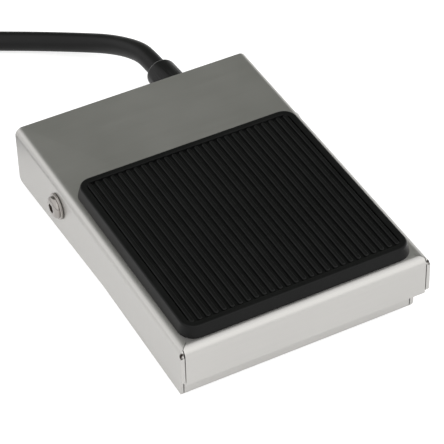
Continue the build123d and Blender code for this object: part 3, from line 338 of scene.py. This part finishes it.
def crisp_copy(name, body, finish, edge=0.0, segments=2, sharp=SHARP_ANGLE):
    """A copy of a solid piece, welded, its flat facets joined, its edges broken by a narrow bevel of the
    given width, smooth where facets meet under an angle. It takes the place of the piece it copies."""
    mesh = nodes[name].data.copy()
    mesh.name = name + "_dressed"
    mesh.materials.clear()
    mesh.materials.append(finish)
    weld = bmesh.new()
    weld.from_mesh(mesh)
    bmesh.ops.remove_doubles(weld, verts=weld.verts, dist=WELD_DISTANCE)
    bmesh.ops.dissolve_limit(weld, angle_limit=FLAT_ANGLE, verts=weld.verts, edges=weld.edges)
    weld.to_mesh(mesh)
    weld.free()
    mesh.polygons.foreach_set("use_smooth", np.ones(len(mesh.polygons), dtype=bool))
    mesh.polygons.foreach_set("material_index", np.zeros(len(mesh.polygons), dtype=np.int32))
    mesh.set_sharp_from_angle(angle=math.radians(sharp))
    copy = bpy.data.objects.new(name + "_dressed", mesh)
    studio.collection.objects.link(copy)
    if edge:
        bevel = copy.modifiers.new("broken_edges", "BEVEL")
        bevel.width = edge
        bevel.segments = segments
        bevel.limit_method = "ANGLE"
        bevel.angle_limit = math.radians(SHARP_ANGLE)
        bevel.harden_normals = True
    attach(copy, body)
    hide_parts(name)
    return copy


def brushed_finish(name, colour, gloss, grain):
    """Metal brushed along the sheet's width: fine noise drawn out along X, or along Z on the side walls,
    moves the gloss and the bump, and slow clouds move the colour and the gloss a little."""
    material, shader, add, join = new_finish(name)
    shader.inputs["Metallic"].default_value = 1.0
    where = add("ShaderNodeTexCoord")
    facing = add("ShaderNodeNewGeometry")
    side = add("ShaderNodeSeparateXYZ")
    side_share = add("ShaderNodeMath", operation="ABSOLUTE")
    join(facing.outputs["Normal"], side.inputs[0])
    join(side.outputs["X"], side_share.inputs[0])
    lines = []
    for stretch in ((30, 1500, 1500), (1500, 1500, 30)):
        draw = add("ShaderNodeMapping", Scale=stretch)
        noise = add("ShaderNodeTexNoise", Scale=1.0, Detail=3.0, Roughness=0.6)
        join(where.outputs["Object"], draw.inputs["Vector"])
        join(draw.outputs["Vector"], noise.inputs["Vector"])
        lines.append(noise.outputs["Fac"])
    streaks = add("ShaderNodeMix")
    join(side_share.outputs[0], streaks.inputs["Factor"])
    join(lines[0], streaks.inputs[2])
    join(lines[1], streaks.inputs[3])
    clouds = add("ShaderNodeTexNoise", Scale=28.0, Detail=4.0, Roughness=0.6)
    join(where.outputs["Object"], clouds.inputs["Vector"])
    tone = add("ShaderNodeMix", data_type="RGBA")
    tone.inputs[6].default_value = shaded(colour, 0.93)
    tone.inputs[7].default_value = shaded(colour, 1.07)
    blend = add("ShaderNodeMix")
    blend.inputs["Factor"].default_value = 0.4
    join(clouds.outputs["Fac"], blend.inputs[2])
    join(streaks.outputs[0], blend.inputs[3])
    join(blend.outputs[0], tone.inputs[0])
    join(tone.outputs[2], shader.inputs["Base Color"])
    rough = add("ShaderNodeMapRange")
    rough.inputs["To Min"].default_value = gloss - 0.09
    rough.inputs["To Max"].default_value = gloss + 0.09
    join(blend.outputs[0], rough.inputs["Value"])
    join(rough.outputs["Result"], shader.inputs["Roughness"])
    bump = add("ShaderNodeBump", Strength=grain, Distance=0.00005)
    join(streaks.outputs[0], bump.inputs["Height"])
    join(bump.outputs["Normal"], shader.inputs["Normal"])
    return material


def paint_shade_round(material, places, reach, colour):
    """Painted shade round a few places: within the reach of one the colour goes over to the shade's dark
    colour, by a smooth step of the distance that a noise makes ragged."""
    tree = material.node_tree
    add = node_adder(tree)
    join = tree.links.new
    shader = tree.nodes["Principled BSDF"]
    where = add("ShaderNodeTexCoord")
    ragged = add("ShaderNodeTexNoise", Scale=900.0)
    join(where.outputs["Object"], ragged.inputs["Vector"])
    tone = shader.inputs["Base Color"].links[0].from_socket
    for place in places:
        gap = add("ShaderNodeVectorMath", operation="DISTANCE")
        gap.inputs[1].default_value = place
        edge = add("ShaderNodeMath", operation="MULTIPLY_ADD")
        edge.inputs[1].default_value = reach * 0.5
        share = add("ShaderNodeMapRange", interpolation_type="SMOOTHSTEP")
        share.inputs["From Min"].default_value = reach * 1.35
        share.inputs["From Max"].default_value = reach * 0.95
        mixed = add("ShaderNodeMix", data_type="RGBA")
        mixed.inputs[7].default_value = (*colour, 1)
        join(where.outputs["Object"], gap.inputs[0])
        join(ragged.outputs["Fac"], edge.inputs[0])
        join(gap.outputs["Value"], edge.inputs[2])
        join(edge.outputs[0], share.inputs["Value"])
        join(share.outputs["Result"], mixed.inputs[0])
        join(tone, mixed.inputs[6])
        tone = mixed.outputs[2]
    join(tone, shader.inputs["Base Color"])



# Painted shade: round each relief hole at the foot of the front bends, the steel's colour goes over to a dark
# brown.
RELIEF_HOLES = [(-0.0428, -0.0599, 0.0250), (0.0428, -0.0599, 0.0250)]
SHADE_REACH = 0.0012
SHADE_BROWN = (0.035, 0.026, 0.022)
brushed_steel = brushed_finish("brushed_steel", (0.630, 0.618, 0.597), 0.37, 0.25)
paint_shade_round(brushed_steel, RELIEF_HOLES, SHADE_REACH, SHADE_BROWN)
crisp_copy("base_tray", "base", brushed_steel, 0.00020, 3)


# Rubber feet: four moulded discs of black rubber glued under the tray's corners.
def rubber_finish(name, colour, gloss):
    """Moulded rubber: a fine grain in the bump, and a dusty mottle that lifts colour and gloss in places."""
    return matt_finish(
        name, colour, gloss, shine=0.18,
        fine={"Scale": 2600.0, "Detail": 4.0, "Roughness": 0.7},
        broad={"Scale": 120.0, "Detail": 5.0, "Roughness": 0.65},
        shades=(0.7, 1.5), spread=(0.08, 0.12), relief=(0.22, 0.00006),
    )


def grid_faces(rows, columns):
    """Quads of a grid of points, row after row, whose last column joins its first."""
    row, column = np.meshgrid(np.arange(rows - 1), np.arange(columns), indexing="ij")
    beside = (column + 1) % columns
    corners = [
        row * columns + column,
        row * columns + beside,
        (row + 1) * columns + beside,
        (row + 1) * columns + column,
    ]
    return np.stack(corners, axis=-1).reshape(-1, 4)


def new_piece(name, points, faces, finish, body, slot, sharp):
    """A mesh object from points and faces: welded, faces turned outwards, smooth where they meet under
    an angle, riding on its body and taking the given finish. The slot argument is not used."""
    mesh = bpy.data.meshes.new(name)
    mesh.from_pydata(np.asarray(points).tolist(), [], [list(face) for face in faces])
    weld = bmesh.new()
    weld.from_mesh(mesh)
    bmesh.ops.remove_doubles(weld, verts=weld.verts, dist=WELD_DISTANCE)
    bmesh.ops.recalc_face_normals(weld, faces=weld.faces)
    weld.to_mesh(mesh)
    weld.free()
    mesh.polygons.foreach_set("use_smooth", np.ones(len(mesh.polygons), dtype=bool))
    mesh.set_sharp_from_angle(angle=math.radians(sharp))
    mesh.materials.append(finish)
    piece = bpy.data.objects.new(name, mesh)
    studio.collection.objects.link(piece)
    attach(piece, body)
    return piece


def turned(profile, places):
    """A piece turned about the upright at each place: a profile of (height, radius) carried round it. Each
    point is the place plus (-radius cos angle, -radius sin angle, height)."""
    angle = np.linspace(0, 2 * np.pi, FOOT_STEPS, endpoint=False)[None, :]
    height, radius = (np.asarray(profile)[:, index, None] for index in (0, 1))
    shape = np.stack([-radius * np.cos(angle), -radius * np.sin(angle), height + 0 * angle], axis=-1)
    shape = shape.reshape(1, -1, 3)
    places = np.asarray(places, float).reshape(-1, 1, 3)
    faces = grid_faces(len(profile), FOOT_STEPS)
    faces = faces[None] + (np.arange(len(places)) * shape.shape[1])[:, None, None]
    return (places + shape).reshape(-1, 3), faces.reshape(-1, 4)


FOOT_RADIUS = 0.0060
FOOT_HEIGHT = 0.0015
FOOT_DRAFT = 0.0001
FOOT_ROUNDING = 0.0004
FOOT_STEPS = 48
FOOT_PLACES = [(x, y, 0.0) for x in (-0.029, 0.029) for y in (-0.044, 0.044)]
black_rubber = rubber_finish("black_rubber", (0.0042, 0.0044, 0.0043), 0.29)
foot_profile = [(0.0, 0.0), (0.00015, 0.0035), (0.0, 0.0042)]
foot_profile += [
    (FOOT_ROUNDING * (1 - math.sin(turn)), FOOT_RADIUS - FOOT_DRAFT - FOOT_ROUNDING * (1 - math.cos(turn)))
    for turn in np.radians(np.linspace(0, 90, 6))[::-1]
]
foot_profile += [(FOOT_HEIGHT, FOOT_RADIUS), (FOOT_HEIGHT, 0.0)]
feet = new_piece(
    "rubber_feet_dressed", *turned(foot_profile, FOOT_PLACES), black_rubber, "base", "rubber", 40
)
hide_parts("rubber_feet")

# Switch bracket: a right-angled piece of the same sheet, riveted to the tray's floor with two
# zinc-plated rivets. It carries the snap-action switch on its upright face.
bright_steel = brushed_finish("bright_steel", (0.66, 0.66, 0.65), 0.20, 0.08)
crisp_copy("switch_bracket", "base", brushed_steel, 0.0001)
crisp_copy("bracket_rivets", "base", bright_steel, 0.00005)


# Snap-action switch: a black moulded body with a red plunger under a hinged steel lever, three
# tinned tabs for the wires, held to the bracket by two screws and nuts.
def moulded_finish(name, colour, gloss):
    """Moulded plastic: spark-eroded texture as a fine bump, and a slight unevenness in colour and gloss."""
    return matt_finish(
        name, colour, gloss, shine=0.30,
        fine={"Scale": 3500.0, "Detail": 3.0},
        broad={"Scale": 150.0, "Detail": 3.0},
        shades=(0.85, 1.15), spread=(0.06, 0.06), relief=(0.2, 0.00004),
    )


switch_black = moulded_finish("switch_black", (0.030, 0.030, 0.034), 0.5)
plunger_red = moulded_finish("plunger_red", (0.42, 0.045, 0.035), 0.4)
tinned_brass = brushed_finish("tinned_brass", (0.72, 0.68, 0.58), 0.28, 0.05)
crisp_copy("switch_body", "base", switch_black, 0.00012)
crisp_copy("switch_plunger", "plunger", plunger_red, 0.0001)
crisp_copy("switch_lever", "lever", bright_steel)
crisp_copy("switch_terminals", "base", tinned_brass, 0.00004)
crisp_copy("switch_screws", "base", bright_steel, 0.00005)
crisp_copy("switch_nuts", "base", bright_steel, 0.00008)

# Earth stud: a threaded stud welded to the tray's floor, with a tinned ring tag crimped on the earth
# wire and held by a plated nut.
crisp_copy("earth_stud", "base", bright_steel)
crisp_copy("earth_tag", "base", tinned_brass, 0.00008)
crisp_copy("earth_nut", "base", bright_steel, 0.0001)

# Return springs: spring steel wire 0.9 mm thick, wound in seven turns that close up at both ends. Each
# stands on a pin on the tray's floor and reaches up round a stud under the pedal.
SPRING_PLACES = {"left": (-0.027, -0.0349), "right": (0.027, -0.0349)}
SPRING_RADIUS = 0.00355
SPRING_WIRE = 0.00045
SPRING_TURNS = 7
SPRING_LOW = 0.00285
SPRING_HIGH = 0.02475
SPRING_STEPS = 40
SPRING_SIDES = 12
SPRING_CLOSING_TURNS = 1.2
SPRING_CLOSED_PITCH = 2.1


def spring_coil(place):
    """A tube along a helix. The height rises by one wire's thickness a turn in the end turns and faster
    between them; each point adds the wire's radius times a direction square to the line."""
    turn = np.linspace(0, SPRING_TURNS, SPRING_STEPS * SPRING_TURNS + 1)
    ends = np.clip(np.minimum(turn, SPRING_TURNS - turn) / SPRING_CLOSING_TURNS, 0, 1)
    slope = ends * ends * (3 - 2 * ends)
    low, high = SPRING_LOW + SPRING_WIRE, SPRING_HIGH - SPRING_WIRE
    closed = SPRING_CLOSED_PITCH * SPRING_WIRE * turn
    rise = np.concatenate([[0], np.cumsum((slope[1:] + slope[:-1]) / 2)])
    height = low + closed + (high - low - closed[-1]) * rise / rise[-1]
    angle = 2 * np.pi * turn
    outward = np.column_stack([np.cos(angle), np.sin(angle), 0 * angle])
    line = np.column_stack([place[0] + 0 * angle, place[1] + 0 * angle, height]) + SPRING_RADIUS * outward
    way = np.gradient(line, axis=0)
    way /= np.linalg.norm(way, axis=1, keepdims=True)
    up = np.cross(outward, way)
    around = np.linspace(0, 2 * np.pi, SPRING_SIDES, endpoint=False)[None, :, None]
    tube = line[:, None] + SPRING_WIRE * (np.cos(around) * outward[:, None] + np.sin(around) * up[:, None])
    faces = grid_faces(len(line), SPRING_SIDES).tolist()
    last = SPRING_SIDES * (len(line) - 1)
    caps = [list(range(SPRING_SIDES)), list(range(last, last + SPRING_SIDES))[::-1]]
    return tube.reshape(-1, 3), faces + caps


spring_steel = brushed_finish("spring_steel", (0.50, 0.50, 0.50), 0.26, 0.05)
for hand, spring_place in SPRING_PLACES.items():
    spring_name = "return_spring_" + hand
    spring = new_piece(
        spring_name + "_dressed", *spring_coil(spring_place), spring_steel, "base", "bright_steel", 50
    )
    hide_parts(spring_name)
    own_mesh(spring)
crisp_copy("spring_pins", "base", bright_steel)

# Rubber stops: the travel stops on the front lip take the pedal's push, and the rest stops on the
# rear tabs hold it level.
crisp_copy("travel_stops", "base", black_rubber, 0.00025, 3)
crisp_copy("rest_stops", "base", black_rubber, 0.00025, 3)

# Cable gland: black nylon, screwed through the tray's back wall on a rubber gasket. Its cap squeezes
# a rubber seal on to the cable, and ends in a round-shouldered nose.
gland_nylon = moulded_finish("gland_nylon", (0.0045, 0.0045, 0.0045), 0.36)
gland_pieces = [
    crisp_copy("gland_body", "base", gland_nylon, 0.0002, 3),
    crisp_copy("gland_nut", "base", gland_nylon, 0.0002, 3),
    crisp_copy("gland_cap", "base", gland_nylon, sharp=50),
    crisp_copy("gland_gasket", "base", black_rubber, 0.0001),
    crisp_copy("gland_seal", "base", black_rubber, 0.0001),
]

# Wires: the sheath ends inside the tray, and brown, blue and green-and-yellow wires go on to the
# switch and the earth stud. The same three come out of the lead's far end, with crimped ferrules.
brown_wire = sheath_finish("brown_wire", (0.16, 0.060, 0.026), 0.38)
blue_wire = sheath_finish("blue_wire", (0.022, 0.095, 0.36), 0.38)
earth_green = sheath_finish("earth_green", (0.09, 0.28, 0.04), 0.38)
wire_tree = earth_green.node_tree
wire_node = node_adder(wire_tree)
wire_join = wire_tree.links.new
wire_way = wire_node("ShaderNodeTexCoord")
wire_stripe = wire_node("ShaderNodeTexWave", bands_direction="DIAGONAL", Scale=130.0, Distortion=0.0)
wire_edge = wire_node("ShaderNodeMapRange", interpolation_type="SMOOTHSTEP")
wire_edge.inputs["From Min"].default_value = 0.55
wire_edge.inputs["From Max"].default_value = 0.68
wire_tone = wire_node("ShaderNodeMix", data_type="RGBA")
wire_tone.inputs[7].default_value = (0.72, 0.58, 0.03, 1)
wire_shader = wire_tree.nodes["Principled BSDF"]
wire_green = wire_shader.inputs["Base Color"].links[0].from_socket
wire_join(wire_way.outputs["Object"], wire_stripe.inputs["Vector"])
wire_join(wire_stripe.outputs["Fac"], wire_edge.inputs["Value"])
wire_join(wire_edge.outputs["Result"], wire_tone.inputs[0])
wire_join(wire_green, wire_tone.inputs[6])
wire_join(wire_tone.outputs[2], wire_shader.inputs["Base Color"])
inner_sheath = crisp_copy("inner_cable", "base", black_sheath)
for wire_name, wire_slot, wire_finish in (
    ("wire_front", "brown_wire", brown_wire),
    ("wire_back", "blue_wire", blue_wire),
    ("wire_earth", "earth_wire", earth_green),
    ("free_wire_left", "brown_wire", brown_wire),
    ("free_wire_middle", "blue_wire", blue_wire),
    ("free_wire_right", "earth_wire", earth_green),
):
    nodes[wire_name].material_slots[0].material = wire_finish
nodes["wire_ferrules"].material_slots[0].material = tinned_brass

# Cable tie: a black nylon strap pulled tight round the coil, its square head on the inside.
tie_nylon = moulded_finish("tie_nylon", (0.028, 0.028, 0.030), 0.42)
tie = crisp_copy("cable_tie", "base", tie_nylon, 0.0002, 3)

# Pedal cover: the same steel sheet folded down at the front and both sides, with mitred corners and a
# small relief hole at the foot of each front bend. It hangs on the hinge screws.
crisp_copy("pedal_cover", "pedal", brushed_steel, 0.00025, 3)
crisp_copy("spring_studs", "pedal", bright_steel)

# Pressing screw: a hexagon nut welded under the cover with a grub screw in it, whose round tip works
# the switch's lever.
crisp_copy("press_nut", "pedal", bright_steel, 0.0001)
crisp_copy("press_screw", "pedal", bright_steel)

# Hinge: a round-headed socket screw and a washer on each side, in a plain plastic bush in the cover's
# side hole, with a nut inside the tray. The screws are polished stainless steel.
polished_steel = brushed_finish("polished_steel", (0.42, 0.395, 0.375), 0.12, 0.03)
bush_white = moulded_finish("bush_white", (0.78, 0.77, 0.72), 0.45)
for hand in ("left", "right"):
    crisp_copy("pivot_bush_" + hand, "base", bush_white, 0.00005)
    crisp_copy("pivot_nut_" + hand, "base", bright_steel, 0.0001)
    crisp_copy("pivot_washer_" + hand, "base", polished_steel, 0.00008, 3)
    crisp_copy("pivot_screw_" + hand, "base", polished_steel, 0.00006, 3)

# Rubber pad: moulded black rubber with a smooth rim round a sunk field of 27 lengthwise ribs,
# glued to the front two thirds of the cover's top.
COVER_FRONT = -0.0599
COVER_FRONT_HEIGHT = 0.0266
COVER_TILT = math.radians(0.86)
PAD_WIDTH = 0.0794
PAD_LENGTH = 0.0792
PAD_START = 0.0031
PAD_THICKNESS = 0.0040
PAD_CORNER = 0.0055
PAD_LEAN = 0.00085
PAD_RIM = 0.0024
PAD_EDGE = 0.0006
RIB_PITCH = 0.00272
RIB_WIDTH = 0.0017
RIB_HEIGHT = 0.0009
RIB_SHOULDER = 0.00045
RIB_END_GAP = 0.0001
RIB_END_POINTS = 9
RIBS = 27


def on_cover(points):
    """Points given as across, back from the cover's front edge and up from its top, put in their place:
    the back and up directions lean back with the cover by its tilt."""
    across, back, up = np.asarray(points).reshape(-1, 3).T
    return np.column_stack([
        across,
        COVER_FRONT + back * math.cos(COVER_TILT) + up * math.sin(COVER_TILT),
        COVER_FRONT_HEIGHT - back * math.sin(COVER_TILT) + up * math.cos(COVER_TILT),
    ])


def rounded_rectangle(width, length, corner, steps):
    """Points and outward directions round a rectangle with round corners: each corner's middle plus
    its radius times the direction, whose angle runs through a quarter turn at each corner in turn."""
    angle = np.radians(np.linspace(0, 90, steps + 1)[None, :] + np.array([0, 90, 180, 270])[:, None])
    outward = np.stack([np.cos(angle), np.sin(angle)], axis=-1)
    middle = np.array([(1, 1), (-1, 1), (-1, -1), (1, -1)]) * (width / 2 - corner, length / 2 - corner)
    return (middle[:, None, :] + outward * corner).reshape(-1, 2), outward.reshape(-1, 2)


def pad_shell():
    """The slab: a profile (inset from the outline, height) carried round a rounded rectangle. It goes up
    the leaning side, over a rounded edge, across the rim and down to the field, which closes it."""
    bend = np.radians(np.linspace(0, 90, 7))
    inner = PAD_LEAN + PAD_RIM
    profile = np.vstack([
        [(0, 0), (0.0002, 0.0011)],
        np.column_stack([
            PAD_LEAN + PAD_EDGE * (1 - np.cos(bend)),
            PAD_THICKNESS - PAD_EDGE * (1 - np.sin(bend)),
        ]),
        [(inner - 0.0003, PAD_THICKNESS), (inner - 0.0001, PAD_THICKNESS - 0.00006)],
        [(inner, PAD_THICKNESS - 0.0003), (inner, PAD_THICKNESS - RIB_HEIGHT)],
    ])
    outline, outward = rounded_rectangle(PAD_WIDTH, PAD_LENGTH, PAD_CORNER, 12)
    plan = outline[None, :, :] - outward[None, :, :] * profile[:, None, :1]
    height = np.broadcast_to(profile[:, None, 1:], plan.shape[:2] + (1,))
    points = np.concatenate([plan + (0, PAD_START + PAD_LENGTH / 2), height], axis=-1).reshape(-1, 3)
    columns = len(outline)
    faces = grid_faces(len(profile), columns).tolist()
    faces.append(list(range(columns))[::-1])
    faces.append(list(range((len(profile) - 1) * columns, len(profile) * columns)))
    return on_cover(points), faces


def pad_ribs():
    """The ribs: each outline is a slot, a line with round ends, that shrinks to its line while the
    height goes up the rib's round-shouldered section; one rib repeated at the pitch."""
    bend = np.radians(np.linspace(0, 90, 6))
    crown = RIB_WIDTH / 2 - 0.0001
    across = np.concatenate([[RIB_WIDTH / 2], crown - RIB_SHOULDER * (1 - np.cos(bend)), [0]])
    up = np.concatenate([[-0.0001], RIB_HEIGHT - RIB_SHOULDER * (1 - np.sin(bend)), [RIB_HEIGHT + 0.00004]])
    half_turns = [np.linspace(start, start + 180, RIB_END_POINTS) for start in (0, 180)]
    angle = np.radians(np.concatenate(half_turns))
    outward = np.column_stack([np.cos(angle), np.sin(angle)])
    reach = PAD_LENGTH / 2 - PAD_LEAN - PAD_RIM - RIB_END_GAP - RIB_WIDTH / 2
    ends = np.column_stack([np.zeros(len(angle)), np.repeat([reach, -reach], RIB_END_POINTS)])
    plan = ends[None] + outward[None] * across[:, None, None]
    height = np.broadcast_to((PAD_THICKNESS - RIB_HEIGHT + up)[:, None, None], plan.shape[:2] + (1,))
    rib = np.concatenate([plan + (0, PAD_START + PAD_LENGTH / 2), height], axis=-1).reshape(-1, 3)
    shift = (np.arange(RIBS) - (RIBS - 1) / 2) * RIB_PITCH
    points = rib[None] + np.column_stack([shift, 0 * shift, 0 * shift])[:, None, :]
    faces = grid_faces(len(across), 2 * RIB_END_POINTS)
    faces = faces[None] + (np.arange(RIBS) * len(rib))[:, None, None]
    return on_cover(points), faces.reshape(-1, 4)


pad = new_piece("rubber_pad_slab", *pad_shell(), black_rubber, "pedal", "rubber", 35)
pad_field = new_piece("rubber_pad_ribs", *pad_ribs(), black_rubber, "pedal", "rubber", 60)
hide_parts("rubber_pad")
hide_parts("rubber_pad")
